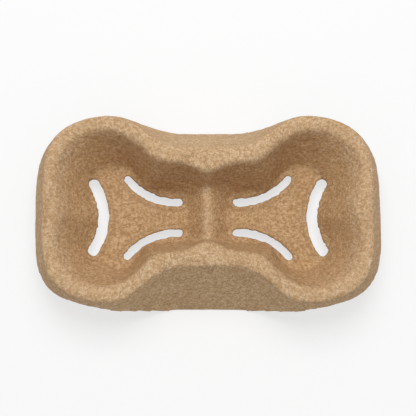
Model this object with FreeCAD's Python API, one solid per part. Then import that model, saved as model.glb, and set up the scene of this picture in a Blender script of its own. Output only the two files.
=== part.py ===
import FreeCAD, Part
import math
import os

# Two-cup carrier in moulded paper pulp: one thin shell, pressed in one piece.
# Frame: X runs along the two cups, Y across them, Z up, z = 0 is the surface it stands on.
# All lengths are millimetres and all angles are degrees.

# The thickness of the shell
wall = 2.0

# The rim, seen from above: two round lobes joined by a narrower waist.
# A higher power makes its corners squarer, and they ease a little with each millimetre of drop.
rim_half_length = 101.0
rim_half_width = 60.0
waist_half_width = rim_half_width - 22.0
waist_straight = 17.0
lobe_place = 62.0
corner_power = 4.6
corner_easing = 0.03

# The height of the rim: the waist stands a step above the lobes
waist_height = 47.0
lobe_height = waist_height - 4.0
step_start = 37.5
step_length = 10.0

# How far the roundings of the rim reach over its flat top, at the pockets and at the skirt
inner_reach = 2.4
outer_reach = 2.2

# The skirt flares outward from the rim, by this much for each millimetre it drops
waist_flare = 0.455
side_flare = 0.26
end_flare = 0.31

# The trimmed edge of the skirt: flat feet on the ground at the waist, higher at the lobes
foot_half_length = 20.0
foot_depth = 0.5
side_edge_height = lobe_height - 11.5
side_edge_start = 68.0
side_edge_end = 78.0
end_edge_height = lobe_height - 23.0
end_edge_place = rim_half_length + 7.0

# The width of the rim beside a pocket and at the end, and how far a pocket's wall leans in
side_land = 3.5
end_land = 10.8
wall_run = 20.0

# A cup pocket: a round well about its own centre, with three bulges that grip the cup
pocket_floor = 12.0
mouth_radius = rim_half_width - side_land
foot_radius = mouth_radius - wall_run
foot_reach = 3.2
inner_bulge_angle = 62.0
grip_radius = 0.5 * mouth_radius + 4.25
inner_bulge_at_mouth = mouth_radius - grip_radius
inner_bulge_spread = 34.0
end_bulge_at_mouth = 14.7
end_bulge_spread = 24.0
pocket_centre = rim_half_length - end_land - (mouth_radius - end_bulge_at_mouth)
foot_bulge_angle = 60.0
foot_bulge = 17.5
foot_bulge_spread = 30.0

# The ridge between the pockets: two flat walls under a rounded crest.
# The walls would meet in a line at the peak.
ridge_peak = pocket_floor + 18.0
ridge_slope = 0.72
crest_height = ridge_peak - 2.8

# The spouts, where the mouths of the pockets run into each other: how far their corners lie
# from the middle at three heights, how many columns they draw along, and half their width
corner_at_floor = 13.0
corner_at_crest = 16.4
corner_at_rim = 22.0
corner_spread = 2.5
spout_half_width = 4.0

# The slots in the floor, three about each pocket's centre, each an arc bent towards that centre
slot_reach = 17.4
slot_turn = 120.0
slot_radius = 39.0
slot_half_angle = 33.0
inner_slot_half_angle = 22.0
end_slot_width = 6.4
inner_slot_width = 4.6

# The star-shaped seat between the slots, pressed slightly below its border
star_depth = 1.0
star_border = 3.2
star_reach = pocket_centre - 17.4

# The low oval pads on the rim at the two ends
pad_place = rim_half_length - 0.5 * end_land
pad_half_length = 11.5
pad_half_width = 4.3
pad_height = 0.6

# How many steps of control points run from a spout to an end, and how far cutters overrun
columns = 24
clear = 10.0

# The control points of a wall lie at these shares of its height
lower_shares = (0.0, 0.0, 0.25, 0.5, 0.75, 1.0)
ridge_shares = (0.0, 0.0, 0.25, 0.6, 1.0, 1.0)
upper_shares = (0.0, 0.2, 0.45, 0.75, 1.0)
rim_shares = (0.0, 0.33, 0.67, 1.0)

middle = FreeCAD.Vector(0, 0, 0)
along_x = FreeCAD.Vector(1, 0, 0)
up = FreeCAD.Vector(0, 0, 1)


def bell(offset, spread):
    """A smooth bump of height one."""
    return math.exp(-(offset / spread) ** 2)


def smooth(value):
    """Zero below 0, one above 1 and an even curve between."""
    share = min(max(value, 0.0), 1.0)
    return share * share * (3.0 - 2.0 * share)


def rim_height(x):
    """The height of the rim's top at this place along the carrier."""
    return waist_height + (lobe_height - waist_height) * smooth((abs(x) - step_start) / step_length)


def edge_height(x):
    """The height of the skirt's trimmed edge at this place along the carrier."""
    climb = smooth((abs(x) - foot_half_length) / (side_edge_start - foot_half_length))
    fall = smooth((abs(x) - side_edge_end) / (end_edge_place - side_edge_end))
    height = (side_edge_height + foot_depth) * climb - (side_edge_height - end_edge_height) * fall
    return height - foot_depth


def outline_point(turn, height):
    """A point of the skirt: a box with rounded corners, drawn in at its waist."""
    drop = lobe_height - height
    at_waist = waist_half_width + waist_flare * drop
    at_lobe = rim_half_width + side_flare * drop
    cosine = math.cos(math.radians(turn))
    sine = math.sin(math.radians(turn))
    power = corner_power - corner_easing * drop
    along = abs(cosine / (rim_half_length + end_flare * drop)) ** power
    across = abs(sine / at_lobe) ** power
    distance = (along + across) ** (-1.0 / power)
    lobe = smooth((abs(distance * cosine) - waist_straight) / (lobe_place - waist_straight))
    y = distance * sine * (at_waist + (at_lobe - at_waist) * lobe) / at_lobe
    return FreeCAD.Vector(distance * cosine, y, height)


def nearest_turn(point):
    """The turn at which the rim's outer edge comes closest to the point."""
    turns = [90.0 + 0.2 * step for step in range(451)]
    return min(turns, key=lambda turn: (outline_point(turn, point.z) - point).Length)


def round_wall(angle, height):
    """The distance of a pocket's round wall from its centre; angle 0 points at the ridge."""
    mouth = mouth_radius - end_bulge_at_mouth * bell(abs(angle) - 180.0, end_bulge_spread)
    foot = foot_radius - foot_bulge * bell(abs(angle) - 180.0, foot_bulge_spread)
    for side in (-1, 1):
        mouth -= inner_bulge_at_mouth * bell(angle - side * inner_bulge_angle, inner_bulge_spread)
        foot -= foot_bulge * bell(angle - side * foot_bulge_angle, foot_bulge_spread)
    return foot + (mouth - foot) * (height - pocket_floor) / (lobe_height - pocket_floor)


def wall_point(angle, height):
    """A point of the left pocket's round wall."""
    distance = round_wall(angle, height)
    turn = math.radians(angle)
    return FreeCAD.Vector(distance * math.cos(turn) - pocket_centre, distance * math.sin(turn), height)


def spout_half(height):
    """Half the distance between the two corners where a ridge wall meets the round wall."""
    if height < crest_height:
        share = (height - pocket_floor) / (crest_height - pocket_floor)
        return corner_at_floor + (corner_at_crest - corner_at_floor) * share
    share = (height - crest_height) / (waist_height - crest_height)
    return corner_at_crest + (corner_at_rim - corner_at_crest) * share


def even_angles():
    """Angles from the spout to the end that lie at even distances along the mouth."""
    first = math.degrees(math.atan2(corner_at_rim, pocket_centre))
    fine = [first + (180.0 - first) * step / 600 for step in range(601)]
    run = [0.0]
    for start, end in zip(fine, fine[1:]):
        run.append(run[-1] + (wall_point(end, lobe_height) - wall_point(start, lobe_height)).Length)
    angles = []
    for column in range(columns + 1):
        wanted = run[-1] * column / columns
        angles.append(min(zip(run, fine), key=lambda pair: abs(pair[0] - wanted))[1])
    return angles


mouth_angles = even_angles()


def column_point(column, height, first_x):
    """A point of the round wall in this column; near the ridge it is drawn to the corner at first_x."""
    corner = FreeCAD.Vector(first_x, spout_half(height), height)
    first = math.degrees(math.atan2(corner.y, corner.x + pocket_centre))
    share = (mouth_angles[column] - mouth_angles[0]) / (180.0 - mouth_angles[0])
    shift = (corner - wall_point(first, height)) * bell(column, corner_spread)
    return wall_point(first + (180.0 - first) * share, height) + shift


def spout_rounded(row):
    """The row with its second point level with the first, so that it runs evenly over x = 0."""
    return [row[0], FreeCAD.Vector(-spout_half_width, row[0].y, row[0].z)] + row[2:]


def ridge_wall(height):
    """The x of the ridge's left wall."""
    return (height - ridge_peak) * ridge_slope


def lower_rows():
    """The round wall of the left pocket from its floor to the height of the crest."""
    rise = crest_height - pocket_floor
    rows = []
    for place, (share, at_ridge) in enumerate(zip(lower_shares, ridge_shares)):
        last = place == len(lower_shares) - 1
        row = []
        for column in range(columns + 1):
            near = max(1.0 - 0.25 * column, 0.0)
            height = pocket_floor + rise * (share + (at_ridge - share) * near)
            first_x = 0.0 if last else ridge_wall(pocket_floor + rise * at_ridge)
            row.append(column_point(column, height, first_x))
        if place == 0:
            row = [drawn_in(point) for point in row]
        rows.append(row)
    rows[-1] = spout_rounded(rows[-1])
    return rows


def drawn_in(point):
    """The point moved towards the pocket's centre by the reach of the rounding at the floor."""
    centre = FreeCAD.Vector(-pocket_centre, 0, point.z)
    return point + (centre - point).normalize() * foot_reach


def upper_rows():
    """The round wall from the height of the crest to the rim, and the start of the rim's top."""
    tops = [rim_height(wall_point(angle, lobe_height).x) for angle in mouth_angles]
    rows = []
    for share in upper_shares:
        row = []
        for column, top in enumerate(tops):
            height = crest_height + (top - crest_height) * share
            row.append(column_point(column, height, 0.0))
        rows.append(spout_rounded(row))
    mouth = rows[-1]
    inner = []
    for column, point in enumerate(mouth):
        before = mouth[max(column - 1, 0)]
        after = mouth[min(column + 1, columns)]
        run = after - before
        if column == columns:
            run = FreeCAD.Vector(0, -1, 0)
        outward = FreeCAD.Vector(run.y, -run.x, 0).normalize()
        moved = point + outward * inner_reach
        inner.append(FreeCAD.Vector(moved.x, moved.y, rim_height(moved.x)))
    inner[0].x = 0.0
    rows.append(inner)
    return rows


def rim_rows(inner):
    """The rim's flat top from its inner line, the rounding outside it and the skirt."""
    rows = [[] for step in range(len(rim_shares) + 4)]
    for column, start in enumerate(inner):
        turn = 90.0 if column == 0 else 180.0 if column == columns else nearest_turn(start)
        corner = outline_point(turn, start.z)
        corner = outline_point(turn, rim_height(corner.x))
        inward = (FreeCAD.Vector(start.x, start.y, corner.z) - corner).normalize()
        end = corner + inward * outer_reach
        low = outline_point(turn, edge_height(corner.x))
        low = outline_point(turn, edge_height(low.x))
        high = outline_point(turn, corner.z - 1.4 * outer_reach)
        points = []
        for share in rim_shares:
            point = start + (end - start) * share
            point.z = rim_height(point.x)
            points.append(point)
        points.extend([corner, high, (high + low) * 0.5, low])
        for row, point in zip(rows, points):
            if column == 0:
                point.x = 0.0
            row.append(point)
    return rows


def whole(rows):
    """The rows carried on over y = 0, to the other side of the pocket."""
    grid = []
    for row in rows:
        row[-1].y = 0.0
        mirrored = [FreeCAD.Vector(point.x, -point.y, point.z) for point in row[:-1]]
        grid.append(row + mirrored[::-1])
    return grid


def ridge_rows(lower):
    """The ridge's left wall, between the first and last points of the round wall's rows."""
    return [[row[-1], row[0]] for row in lower]


def key(point):
    """The point as a key for the table of normals."""
    return round(point.x, 4), round(point.y, 4), round(point.z, 4)


def normals(grids):
    """The mean of the upward directions of the meshes about each control point."""
    sums = {}
    counts = {}
    for grid in grids:
        for near, far in zip(grid, grid[1:]):
            for start in range(len(near) - 1):
                corners = (near[start], near[start + 1], far[start], far[start + 1])
                direction = (corners[3] - corners[0]).cross(corners[1] - corners[2]).normalize()
                for corner in corners:
                    place = key(corner)
                    sums[place] = sums.get(place, FreeCAD.Vector(0, 0, 0)) + direction
                    counts[place] = counts.get(place, 0) + 1
    return {place: sums[place] * (1.0 / counts[place]) for place in sums}


def offset(grid, table):
    """The grid moved down by the thickness of the wall."""
    moved = []
    for row in grid:
        points = []
        for point in row:
            direction = FreeCAD.Vector(table[key(point)])
            if point.x == 0.0:
                direction.x = 0.0
            points.append(point - direction * (wall / direction.Length ** 2))
        moved.append(points)
    return moved


def knots(count):
    """The degree, the knots and their multiplicities for this many control points."""
    degree = min(count - 1, 3)
    spans = count - degree
    return degree, [float(step) for step in range(spans + 1)], [degree + 1] + [1] * (spans - 1) + [degree + 1]


def patch(grid):
    """A smooth face over a grid of control points."""
    row_degree, row_knots, row_mults = knots(len(grid))
    degree, column_knots, column_mults = knots(len(grid[0]))
    surface = Part.BSplineSurface()
    surface.buildFromPolesMultsKnots(
        grid, row_mults, column_mults, row_knots, column_knots, False, False, row_degree, degree
    )
    return surface.toShape()


def curve(points):
    """The smooth edge of a patch along one row of control points."""
    degree, places, mults = knots(len(points))
    line = Part.BSplineCurve()
    line.buildFromPolesMultsKnots(points, mults, places, False, degree)
    return line.toShape()


def floor(grids):
    """The level floor of the pocket inside the first rows of its walls."""
    return Part.Face(Part.Wire([curve(grids[0][0]), curve(grids[2][0])]))


def shell():
    """The whole shell before it is cut: the left half and its mirror image."""
    lower = whole(lower_rows())
    quarter = upper_rows()
    rim = whole(rim_rows(quarter[-1]))
    upper = whole(quarter)
    upper[0] = lower[-1]
    rim[0] = upper[-1]
    above = [lower, upper, ridge_rows(lower), rim]
    table = normals(above)
    below = [offset(grid, table) for grid in above]
    faces = [patch(grid) for grid in above + below]
    faces += [floor(above), floor(below)]
    faces.append(patch([above[3][-1], below[3][-1]]))
    faces += [face.mirror(middle, along_x) for face in faces]
    return Part.Solid(Part.Shell(faces))


def both(shape):
    """The shape at the left pocket together with its mirror image at the right."""
    return shape.fuse(shape.mirror(middle, along_x))


def ground():
    """Everything below the surface the carrier stands on."""
    corner = FreeCAD.Vector(-2.0 * rim_half_length, -2.0 * rim_half_length, -clear)
    return Part.makeBox(4.0 * rim_half_length, 4.0 * rim_half_length, clear, corner)


def arc_band(reach, width, half_start, half_end):
    """A flat band along an arc with round ends; its middle is reach from the pocket's centre."""
    bend = FreeCAD.Vector(-reach - slot_radius, 0, 0)

    def at(radius, angle):
        turn = math.radians(angle)
        return bend + FreeCAD.Vector(radius * math.cos(turn), radius * math.sin(turn), 0)

    inner = slot_radius - 0.5 * width
    outer = slot_radius + 0.5 * width
    middle_angle = 0.5 * (half_end - half_start)
    tip = math.degrees(0.5 * width / slot_radius)
    pieces = [
        Part.Arc(at(outer, -half_start), at(outer, middle_angle), at(outer, half_end)),
        Part.Arc(at(outer, half_end), at(slot_radius, half_end + tip), at(inner, half_end)),
        Part.Arc(at(inner, half_end), at(inner, middle_angle), at(inner, -half_start)),
        Part.Arc(at(inner, -half_start), at(slot_radius, -half_start - tip), at(outer, -half_start)),
    ]
    return Part.Face(Part.Wire([piece.toShape() for piece in pieces]))


def slots():
    """The cutters of the three slots of the left pocket."""
    cutters = []
    ends = [
        (0.0, end_slot_width, slot_half_angle, slot_half_angle),
        (slot_turn, inner_slot_width, inner_slot_half_angle, slot_half_angle),
        (2.0 * slot_turn, inner_slot_width, slot_half_angle, inner_slot_half_angle),
    ]
    for turn, width, start, end in ends:
        band = arc_band(slot_reach, width, start, end)
        band.rotate(middle, up, -turn)
        band.translate(FreeCAD.Vector(-pocket_centre, 0, 0))
        cutters.append(band.extrude(up * (2.0 * pocket_floor)))
    return cutters[0].fuse(cutters[1:])


def star(border):
    """The flat outline of the seat in the left pocket, this far inside the slots."""
    seat = Part.Face(Part.Wire([Part.makeCircle(star_reach + star_border - border)]))
    widths = ((0.0, end_slot_width), (slot_turn, inner_slot_width), (2.0 * slot_turn, inner_slot_width))
    for turn, width in widths:
        radius = slot_radius + 0.5 * width + border
        bend = FreeCAD.Vector(-slot_reach - slot_radius, 0, 0)
        disc = Part.Face(Part.Wire([Part.makeCircle(radius, bend)]))
        disc.rotate(middle, up, -turn)
        seat = seat.cut(disc)
    seat.translate(FreeCAD.Vector(-pocket_centre, 0, 0))
    return seat


def seats():
    """What is pressed out of the upper side of a floor, and what that adds to its lower side."""
    hollow = star(star_border).extrude(up * (2.0 * star_depth))
    hollow.translate(up * (pocket_floor - star_depth))
    swell = star(star_border - 0.5 * wall).extrude(up * (0.5 * wall + star_depth))
    swell.translate(up * (pocket_floor - wall - star_depth))
    return hollow, swell


def end_pad():
    """The low rough pad on the rim at the left end."""
    oval = Part.Ellipse(middle, pad_half_length, pad_half_width)
    face = Part.Face(Part.Wire([oval.toShape()]))
    face.rotate(middle, up, 90.0)
    face.translate(FreeCAD.Vector(-pad_place, 0, lobe_height - 0.5 * wall))
    return face.extrude(up * (0.5 * wall + pad_height))


def carrier():
    """The finished carrier."""
    hollow, swell = seats()
    solid = shell().cut(ground())
    solid = solid.fuse([both(swell), both(end_pad())])
    solid = solid.cut([both(hollow), both(slots())])
    return solid.Solids[0]


if __name__ == "__main__":
    os.makedirs("parts", exist_ok=True)
    carrier().exportStep("parts/carrier.step")
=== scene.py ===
import math

import bmesh
import bpy
import numpy as np
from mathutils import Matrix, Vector, noise

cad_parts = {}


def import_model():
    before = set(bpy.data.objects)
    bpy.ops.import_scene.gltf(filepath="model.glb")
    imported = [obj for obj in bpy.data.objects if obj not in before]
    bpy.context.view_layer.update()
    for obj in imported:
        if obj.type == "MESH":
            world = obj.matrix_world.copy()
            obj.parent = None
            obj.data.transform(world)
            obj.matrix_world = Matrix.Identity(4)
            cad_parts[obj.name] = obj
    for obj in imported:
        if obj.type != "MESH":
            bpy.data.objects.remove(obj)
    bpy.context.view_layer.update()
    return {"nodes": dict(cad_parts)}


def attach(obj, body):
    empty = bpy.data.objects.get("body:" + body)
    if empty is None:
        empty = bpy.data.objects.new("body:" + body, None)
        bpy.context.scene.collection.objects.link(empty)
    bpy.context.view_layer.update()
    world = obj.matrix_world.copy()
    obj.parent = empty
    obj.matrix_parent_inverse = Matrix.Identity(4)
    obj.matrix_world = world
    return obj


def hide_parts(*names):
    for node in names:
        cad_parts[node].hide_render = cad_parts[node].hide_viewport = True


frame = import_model()

# A two-cup carrier in moulded paper pulp. Lengths are in metres and angles in degrees.
# The sizes down to the pads follow those of the solid, and the rest belongs to the scene alone.

rim_half_length = 0.101
rim_half_width = 0.060
waist_half_width = 0.038
waist_straight = 0.017
lobe_place = 0.062
corner_power = 4.6
corner_easing = 30.0
lobe_height = 0.043
waist_height = 0.047
step_start = 0.0375
step_length = 0.010
waist_flare = 0.455
side_flare = 0.26
end_flare = 0.31

foot_half_length = 0.020
side_edge_height = 0.0315
side_edge_start = 0.068
side_edge_end = 0.078
end_edge_height = 0.020
end_edge_place = 0.108

pocket_centre = 0.0484
slot_turn = 120.0
slot_reach = 0.0174
slot_radius = 0.039
slot_half_angle = 33.0
inner_slot_half_angle = 22.0
end_slot_width = 0.0064
inner_slot_width = 0.0046
star_border = 0.0032

pad_place = 0.0956
pad_half_length = 0.0115
pad_half_width = 0.0043
pad_base = 0.040

# The pulp's roughness: for each kind its wavelength, its height and its seed
body_wave = (0.038, 0.00035, 1)
body_dent = (0.0095, 0.00016, 2)
body_grain = (0.0034, 0.00009, 3)
pad_lump = (0.0034, 0.00085, 4)
pad_grain = (0.0018, 0.00030, 5)
edge_wave = (0.0060, 0.00060, 6)
edge_nick = (0.0022, 0.00040, 7)
slot_wave = (0.0030, 0.00050, 8)
slot_nick = (0.0012, 0.00018, 9)
groove_depth = 0.00045
crease_depth = 0.00030

# How far each mark reaches from its edge or its line
ragged_reach = 0.0022
torn_reach = 0.0014
raw_edge_reach = 0.0011
raw_slot_reach = 0.0005
groove_width = 0.0007
crease_width = 0.0006
tear_width = 0.0016

# The mesh: its grain, and how often it is smoothed
voxel = 0.00114
smooth_rounds = 3

# The view of the photograph: a camera nearly overhead, tilted towards the front
camera_tilt = 11.5
camera_distance = 0.85
camera_lens = 120.6
aim_height = 0.042

# The light: the even part from all round, the lamp behind the carrier, and the white in the floor
even_light = 0.42
key_place = (0.0, 0.33, 1.00)
key_size = 0.60
key_power = 6.9
floor_white = 0.68

# The pulp's colours
dark_cloud = (0.640, 0.425, 0.240)
pale_cloud = (0.720, 0.495, 0.292)
mottle_colour = (0.800, 0.590, 0.385)
grain_colour = (0.440, 0.268, 0.130)
fine_colour = (0.390, 0.232, 0.110)
dark_fibre = (0.360, 0.220, 0.110)
pale_fibre = (0.830, 0.660, 0.470)
speck_colour = (0.260, 0.145, 0.065)
# Painted shade: this tint darkens the pockets' walls and floors, where shade falls
pocket_shade_tint = (0.89, 0.835, 0.745)
# Painted shade: the dark colour laid in the groove round the star's slots
groove_shade_colour = (0.330, 0.190, 0.085)
# Painted shade: the dark colour laid along the creases and at the tears
crease_shade_colour = (0.250, 0.140, 0.060)
# Painted shade: the dark wrinkle lines laid over the rim's pads
pad_wrinkle_shade = (0.400, 0.250, 0.120)
raw_colour = (0.470, 0.270, 0.112)

# Creases in the rim and beside the slots' ends, as points across the carrier seen from above
creases = [
    [(-0.0164, 0.0319), (-0.0113, 0.0311), (-0.0084, 0.0338)],
    [(-0.0156, -0.0334), (-0.0084, -0.0334), (-0.0021, -0.0346)],
    [(-0.0021, -0.0341), (0.0018, -0.0389), (0.0047, -0.0360)],
    [(-0.0021, 0.0294), (0.0003, 0.0235)],
    [(-0.0672, 0.0286), (-0.0577, 0.0312)],
    [(-0.0697, -0.0280), (-0.0590, -0.0332)],
]
# The tears are spots darkened with the creases' painted shade
tears = [(-0.0571, 0.0325), (-0.0588, -0.0330)]


def smooth_step(value):
    """Zero below 0, one above 1 and an even curve between."""
    share = np.clip(value, 0.0, 1.0)
    return share * share * (3.0 - 2.0 * share)


def bump(distance, width):
    """One at distance 0, falling evenly to nothing over about twice the width."""
    return np.exp(-(distance / width) ** 2)


def edge_height(x):
    """The height of the skirt's trimmed edge at this place along the carrier."""
    climb = smooth_step((np.abs(x) - foot_half_length) / (side_edge_start - foot_half_length))
    fall = smooth_step((np.abs(x) - side_edge_end) / (end_edge_place - side_edge_end))
    return side_edge_height * climb - (side_edge_height - end_edge_height) * fall


def share_of_outline(points):
    """How far out each point lies: one on the skirt's outer surface, less inside it."""
    x, y, z = points.T
    drop = lobe_height - z
    at_waist = waist_half_width + waist_flare * drop
    at_lobe = rim_half_width + side_flare * drop
    lobe = smooth_step((np.abs(x) - waist_straight) / (lobe_place - waist_straight))
    along = np.abs(x / (rim_half_length + end_flare * drop))
    across = np.abs(y / (at_waist + (at_lobe - at_waist) * lobe))
    power = corner_power - corner_easing * drop
    return (along ** power + across ** power) ** (1.0 / power)


def slot_frame(points, turn):
    """The points seen from the centre of a slot's arc: along the slot's middle line and across it."""
    across = points[:, 1]
    along = pocket_centre - np.abs(points[:, 0])
    cosine = math.cos(math.radians(turn))
    sine = math.sin(math.radians(turn))
    u = along * cosine - across * sine + slot_reach + slot_radius
    v = along * sine + across * cosine
    return u, v


def slot_distance(points):
    """The distance of each point from the nearest slot, less than 0 inside it, seen from above."""
    nearest = np.full(len(points), 1.0)
    kinds = [
        (0.0, end_slot_width, slot_half_angle, slot_half_angle),
        (slot_turn, inner_slot_width, inner_slot_half_angle, slot_half_angle),
        (2.0 * slot_turn, inner_slot_width, slot_half_angle, inner_slot_half_angle),
    ]
    for turn, width, start, end in kinds:
        u, v = slot_frame(points, turn)
        angle = np.degrees(np.arctan2(v, u))
        held = np.radians(np.clip(angle, -start, end))
        gap = np.hypot(u - slot_radius * np.cos(held), v - slot_radius * np.sin(held)) - 0.5 * width
        nearest = np.minimum(nearest, gap)
    return nearest


def inside_star(points):
    """One where a point lies on the star's side of the slots, else zero."""
    inside = np.ones(len(points))
    for turn in (0.0, slot_turn, 2.0 * slot_turn):
        u, v = slot_frame(points, turn)
        inside *= (np.hypot(u, v) > slot_radius)
    return inside


def line_distance(points, start, end):
    """The distance of each point from a straight stretch, seen from above."""
    start = np.array(start)
    run = np.array(end) - start
    offset = points[:, :2] - start
    share = np.clip(offset @ run / (run @ run), 0.0, 1.0)
    return np.hypot(*(offset - share[:, None] * run).T)


def noise_at(points, kind):
    """Even noise at each point, of the kind's wavelength, height and seed."""
    wavelength, height, seed = kind
    shift = Vector((seed * 3.7, seed * 1.9, seed * 5.3))
    return height * np.array([noise.noise(Vector(point) / wavelength + shift) for point in points])


def vectors_at(points, kind):
    """An even noise direction at each point, of the kind's wavelength, height and seed."""
    wavelength, height, seed = kind
    noise.seed_set(seed)
    shift = Vector((seed * 2.3, seed * 4.1, seed * 1.7))
    drawn = [noise.noise_vector(Vector(point) / wavelength + shift)[:] for point in points]
    return height * np.array(drawn)


def pulp_mesh():
    """The solid's mesh, made even and slightly softened."""
    source = frame["nodes"]["carrier"]
    mesh = source.data.copy()
    mesh.name = "pulp_carrier"
    welder = bmesh.new()
    welder.from_mesh(mesh)
    bmesh.ops.remove_doubles(welder, verts=welder.verts, dist=1e-6)
    welder.to_mesh(mesh)
    welder.free()
    piece = bpy.data.objects.new("pulp_carrier", mesh)
    bpy.context.scene.collection.objects.link(piece)
    remesh = piece.modifiers.new("even", "REMESH")
    remesh.mode = "VOXEL"
    remesh.voxel_size = voxel
    soften = piece.modifiers.new("soften", "SMOOTH")
    soften.factor = 0.5
    soften.iterations = smooth_rounds
    shown = piece.evaluated_get(bpy.context.evaluated_depsgraph_get())
    even = bpy.data.meshes.new_from_object(shown)
    piece.modifiers.clear()
    piece.data = even
    return piece


def roughened(piece):
    """Gives the mesh its waves, ragged edges, grooves and pads, and marks them for the colours, among
    them the painted shade in the pockets, the grooves and the creases.
    """
    mesh = piece.data
    count = len(mesh.vertices)
    flat = np.empty(count * 3)
    mesh.vertices.foreach_get("co", flat)
    points = flat.reshape(count, 3).copy()
    mesh.vertex_normals.foreach_get("vector", flat)
    directions = flat.reshape(count, 3).copy()

    out = share_of_outline(points)
    skirt = smooth_step((out - 0.90) / 0.06)
    above_edge = points[:, 2] - edge_height(points[:, 0])
    at_edge = skirt * bump(np.maximum(above_edge, 0.0), ragged_reach)

    slot_gap = slot_distance(points)
    in_floor = 1.0 - smooth_step((points[:, 2] - 0.016) / 0.004)
    at_slot = in_floor * bump(np.maximum(slot_gap, 0.0), torn_reach)
    upper = smooth_step(directions[:, 2] / 0.4)
    star = inside_star(points) * in_floor
    # The groove beside the slots: sunk into the mesh, and darkened with painted shade
    shaded_groove = star * upper * bump(slot_gap - star_border, groove_width)

    from_pad = np.abs(points[:, 0]) - pad_place
    pad = np.hypot(from_pad / pad_half_width, points[:, 1] / pad_half_length)
    on_pad = upper * (1.0 - smooth_step((pad - 0.75) / 0.35)) * (points[:, 2] > pad_base)

    # The creases and the tears: a dent, and a mask for their painted shade
    shaded_crease = np.zeros(count)
    for line in creases:
        for start, end in zip(line, line[1:]):
            shaded_crease = np.maximum(shaded_crease, bump(line_distance(points, start, end), crease_width))
    shaded_crease *= upper
    tear_shade = np.zeros(count)
    for place in tears:
        gap = np.hypot(*(points[:, :2] - np.array(place)).T)
        tear_shade = np.maximum(tear_shade, bump(gap, tear_width))
    shaded_crease = np.maximum(shaded_crease, tear_shade * upper)

    # The pockets' insides, without the ridge's crest, are marked for a painted shade
    at_lobe = smooth_step((np.abs(points[:, 0]) - step_start) / step_length)
    top = lobe_height + (waist_height - lobe_height) * (1.0 - at_lobe)
    within = 1.0 - smooth_step((out - 0.80) / 0.10)
    below_rim = smooth_step((top - points[:, 2] - 0.0012) / 0.004)
    crest = bump(points[:, 0], 0.0042) * smooth_step((points[:, 2] - 0.020) / 0.005)
    pocket_shade = within * below_rim * (1.0 - crest)

    waves = vectors_at(points, body_wave)
    relief = noise_at(points, body_dent) + noise_at(points, body_grain) * (1.0 + 1.5 * upper)
    relief -= shaded_groove * groove_depth + shaded_crease * crease_depth
    relief += on_pad * (noise_at(points, pad_lump) + noise_at(points, pad_grain))

    points += waves * smooth_step(points[:, 2] / 0.006)[:, None]
    points += directions * relief[:, None]

    ragged = noise_at(points, edge_wave) + noise_at(points, edge_nick)
    back = smooth_step((points[:, 1] - 0.03) / 0.02)
    back_waist = back * (1.0 - smooth_step((np.abs(points[:, 0]) - 0.045) / 0.02))
    points[:, 2] += at_edge * ragged * (1.0 + 0.6 * back_waist) * smooth_step(points[:, 2] / 0.002)

    torn = vectors_at(points, slot_wave) + vectors_at(points, slot_nick)
    torn[:, 2] *= 0.4
    points += torn * at_slot[:, None]
    points[:, 2] = np.maximum(points[:, 2], 0.0)

    mesh.vertices.foreach_set("co", points.ravel())
    raw = np.maximum(
        skirt * bump(np.maximum(above_edge, 0.0), raw_edge_reach),
        in_floor * bump(np.maximum(slot_gap, 0.0), raw_slot_reach),
    )
    marks = {"raw": raw, "shaded_groove": shaded_groove, "pad": on_pad, "shaded_crease": shaded_crease, "pocket_shade": pocket_shade}
    for name, values in marks.items():
        layer = mesh.attributes.new(name, "FLOAT", "POINT")
        layer.data.foreach_set("value", values.astype(np.float32))
    for polygon in mesh.polygons:
        polygon.use_smooth = True
    mesh.update()


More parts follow.
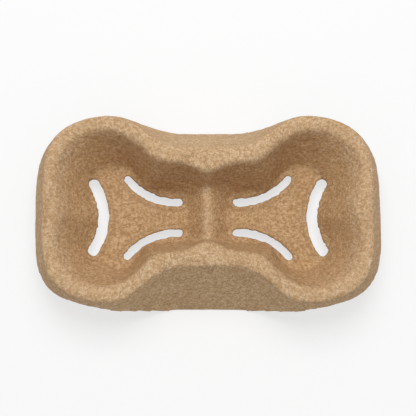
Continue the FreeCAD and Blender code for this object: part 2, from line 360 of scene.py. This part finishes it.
def pulp_material():
    """Natural brown paper pulp: clouded, speckled and fibrous, darker where it is raw, with painted
    shade in the pockets, the grooves, the creases and the pads' wrinkles.
    """
    material = bpy.data.materials.new("pulp")
    material.use_nodes = True
    tree = material.node_tree
    nodes = tree.nodes
    links = tree.links
    nodes.clear()
    output = nodes.new("ShaderNodeOutputMaterial")
    shader = nodes.new("ShaderNodeBsdfPrincipled")
    shader.inputs["Roughness"].default_value = 0.92
    shader.inputs["Specular IOR Level"].default_value = 0.18
    links.new(shader.outputs[0], output.inputs[0])
    place = nodes.new("ShaderNodeTexCoord").outputs["Object"]

    def noise_node(scale, detail, roughness=0.55, distortion=0.0):
        node = nodes.new("ShaderNodeTexNoise")
        node.inputs["Scale"].default_value = scale
        node.inputs["Detail"].default_value = detail
        node.inputs["Roughness"].default_value = roughness
        node.inputs["Distortion"].default_value = distortion
        links.new(place, node.inputs["Vector"])
        return node.outputs["Fac"]

    def spread(value, low, high, to_low=0.0, to_high=1.0):
        node = nodes.new("ShaderNodeMapRange")
        node.inputs["From Min"].default_value = low
        node.inputs["From Max"].default_value = high
        node.inputs["To Min"].default_value = to_low
        node.inputs["To Max"].default_value = to_high
        links.new(value, node.inputs["Value"])
        return node.outputs["Result"]

    def math_node(operation, first, second=0.0):
        node = nodes.new("ShaderNodeMath")
        node.operation = operation
        for socket, value in zip(node.inputs, (first, second)):
            if isinstance(value, float):
                socket.default_value = value
            else:
                links.new(value, socket)
        return node.outputs[0]

    def mixed(amount, first, second, blend="MIX"):
        node = nodes.new("ShaderNodeMix")
        node.data_type = "RGBA"
        node.blend_type = blend
        if isinstance(amount, float):
            node.inputs["Factor"].default_value = amount
        else:
            links.new(amount, node.inputs["Factor"])
        for socket, value in ((node.inputs[6], first), (node.inputs[7], second)):
            if isinstance(value, tuple):
                socket.default_value = value + (1.0,)
            else:
                links.new(value, socket)
        return node.outputs[2]

    def laid(under, mask, amount, over, blend="MIX"):
        return mixed(math_node("MULTIPLY", mask, amount), under, over, blend)

    def marked(name):
        node = nodes.new("ShaderNodeAttribute")
        node.attribute_name = name
        return node.outputs["Fac"]

    def fibres(scale, width, seed_scale):
        line = math_node("ABSOLUTE", math_node("SUBTRACT", noise_node(scale, 2.0, 0.5, 0.6), 0.5))
        thin = spread(line, 0.0, width, 1.0, 0.0)
        broken = spread(noise_node(seed_scale, 2.0), 0.52, 0.60)
        return math_node("MULTIPLY", thin, broken)

    clouds = spread(noise_node(34.0, 3.0), 0.32, 0.68)
    colour = mixed(clouds, dark_cloud, pale_cloud)
    mottle = spread(noise_node(230.0, 4.0, 0.6), 0.40, 0.62)
    colour = laid(colour, mottle, 0.60, mottle_colour)
    grain = spread(noise_node(520.0, 4.0, 0.7), 0.44, 0.61)
    colour = laid(colour, grain, 0.80, grain_colour)
    fine = spread(noise_node(1050.0, 2.0, 0.6), 0.46, 0.62)
    colour = laid(colour, fine, 0.62, fine_colour)
    colour = laid(colour, fibres(170.0, 0.020, 60.0), 0.50, dark_fibre)
    colour = laid(colour, fibres(230.0, 0.018, 75.0), 0.55, pale_fibre)
    specks = spread(noise_node(620.0, 1.0), 0.71, 0.77)
    colour = laid(colour, specks, 0.6, speck_colour)
    # Painted shade darkening the pockets' insides
    colour = laid(colour, marked("pocket_shade"), 0.85, pocket_shade_tint, "MULTIPLY")
    # Painted shade in the groove beside the slots
    colour = laid(colour, marked("shaded_groove"), 0.40, groove_shade_colour)
    # Painted shade along the creases and at the tears
    colour = laid(colour, marked("shaded_crease"), 0.45, crease_shade_colour)
    # Painted shade in the pads' wrinkles
    pad_noise = spread(noise_node(320.0, 3.0, 0.6, 0.8), 0.47, 0.60)
    pad_wrinkle_shade_mask = math_node("MULTIPLY", marked("pad"), pad_noise)
    colour = laid(colour, pad_wrinkle_shade_mask, 0.45, pad_wrinkle_shade)
    colour = laid(colour, marked("raw"), 0.65, raw_colour)
    links.new(colour, shader.inputs["Base Color"])

    fine_relief = math_node("MULTIPLY", noise_node(1300.0, 2.0), 0.5)
    relief = math_node("ADD", noise_node(420.0, 4.0, 0.6), fine_relief)
    raised = nodes.new("ShaderNodeBump")
    raised.inputs["Strength"].default_value = 0.7
    raised.inputs["Distance"].default_value = 0.0010
    links.new(relief, raised.inputs["Height"])
    links.new(raised.outputs[0], shader.inputs["Normal"])
    return material


def carrier():
    """The carrier as the photograph shows it."""
    piece = pulp_mesh()
    roughened(piece)
    piece.data.materials.clear()
    piece.data.materials.append(pulp_material())
    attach(piece, "root")
    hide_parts("carrier")
    return piece


def floor():
    """A plain pale floor under the carrier."""
    bpy.ops.mesh.primitive_plane_add(size=8.0, location=(0.0, 0.0, 0.0))
    ground = bpy.context.object
    ground.name = "floor"
    material = bpy.data.materials.new("pale_floor")
    material.use_nodes = True
    shader = material.node_tree.nodes["Principled BSDF"]
    shader.inputs["Base Color"].default_value = (0.93, 0.93, 0.93, 1.0)
    shader.inputs["Roughness"].default_value = 1.0
    shader.inputs["Specular IOR Level"].default_value = 0.0
    nodes = material.node_tree.nodes
    links = material.node_tree.links
    white = nodes.new("ShaderNodeEmission")
    path = nodes.new("ShaderNodeLightPath")
    share = nodes.new("ShaderNodeMath")
    share.operation = "MULTIPLY"
    share.inputs[1].default_value = floor_white
    mix = nodes.new("ShaderNodeMixShader")
    links.new(path.outputs["Is Camera Ray"], share.inputs[0])
    links.new(share.outputs[0], mix.inputs[0])
    links.new(shader.outputs[0], mix.inputs[1])
    links.new(white.outputs[0], mix.inputs[2])
    links.new(mix.outputs[0], nodes["Material Output"].inputs[0])
    ground.data.materials.append(material)


def world():
    """Even light from all round, and white behind the floor."""
    scene_world = bpy.data.worlds.new("studio")
    bpy.context.scene.world = scene_world
    scene_world.use_nodes = True
    nodes = scene_world.node_tree.nodes
    links = scene_world.node_tree.links
    light = nodes["Background"]
    light.inputs["Color"].default_value = (1.0, 1.0, 1.0, 1.0)
    light.inputs["Strength"].default_value = even_light
    white = nodes.new("ShaderNodeBackground")
    white.inputs["Color"].default_value = (1.0, 1.0, 1.0, 1.0)
    white.inputs["Strength"].default_value = 1.0
    path = nodes.new("ShaderNodeLightPath")
    mix = nodes.new("ShaderNodeMixShader")
    links.new(path.outputs["Is Camera Ray"], mix.inputs[0])
    links.new(light.outputs[0], mix.inputs[1])
    links.new(white.outputs[0], mix.inputs[2])
    links.new(mix.outputs[0], nodes["World Output"].inputs[0])


def lamp(name, place, size, power):
    """A square soft lamp aimed at the carrier."""
    data = bpy.data.lights.new(name, "AREA")
    data.shape = "SQUARE"
    data.size = size
    data.energy = power
    piece = bpy.data.objects.new(name, data)
    piece.location = place
    piece.rotation_euler = (-Vector(place)).to_track_quat("-Z", "Y").to_euler()
    bpy.context.scene.collection.objects.link(piece)


def camera():
    """The photograph's view."""
    data = bpy.data.cameras.new("camera")
    data.lens = camera_lens
    data.sensor_width = 36.0
    data.clip_start = 0.01
    piece = bpy.data.objects.new("camera", data)
    tilt = math.radians(camera_tilt)
    piece.location = (
        0.0,
        -camera_distance * math.sin(tilt),
        aim_height + camera_distance * math.cos(tilt),
    )
    piece.rotation_euler = (tilt, 0.0, 0.0)
    bpy.context.scene.collection.objects.link(piece)
    bpy.context.scene.camera = piece


carrier()
floor()
world()
lamp("key", key_place, key_size, key_power)
camera()
bpy.context.scene.view_settings.view_transform = "Standard"
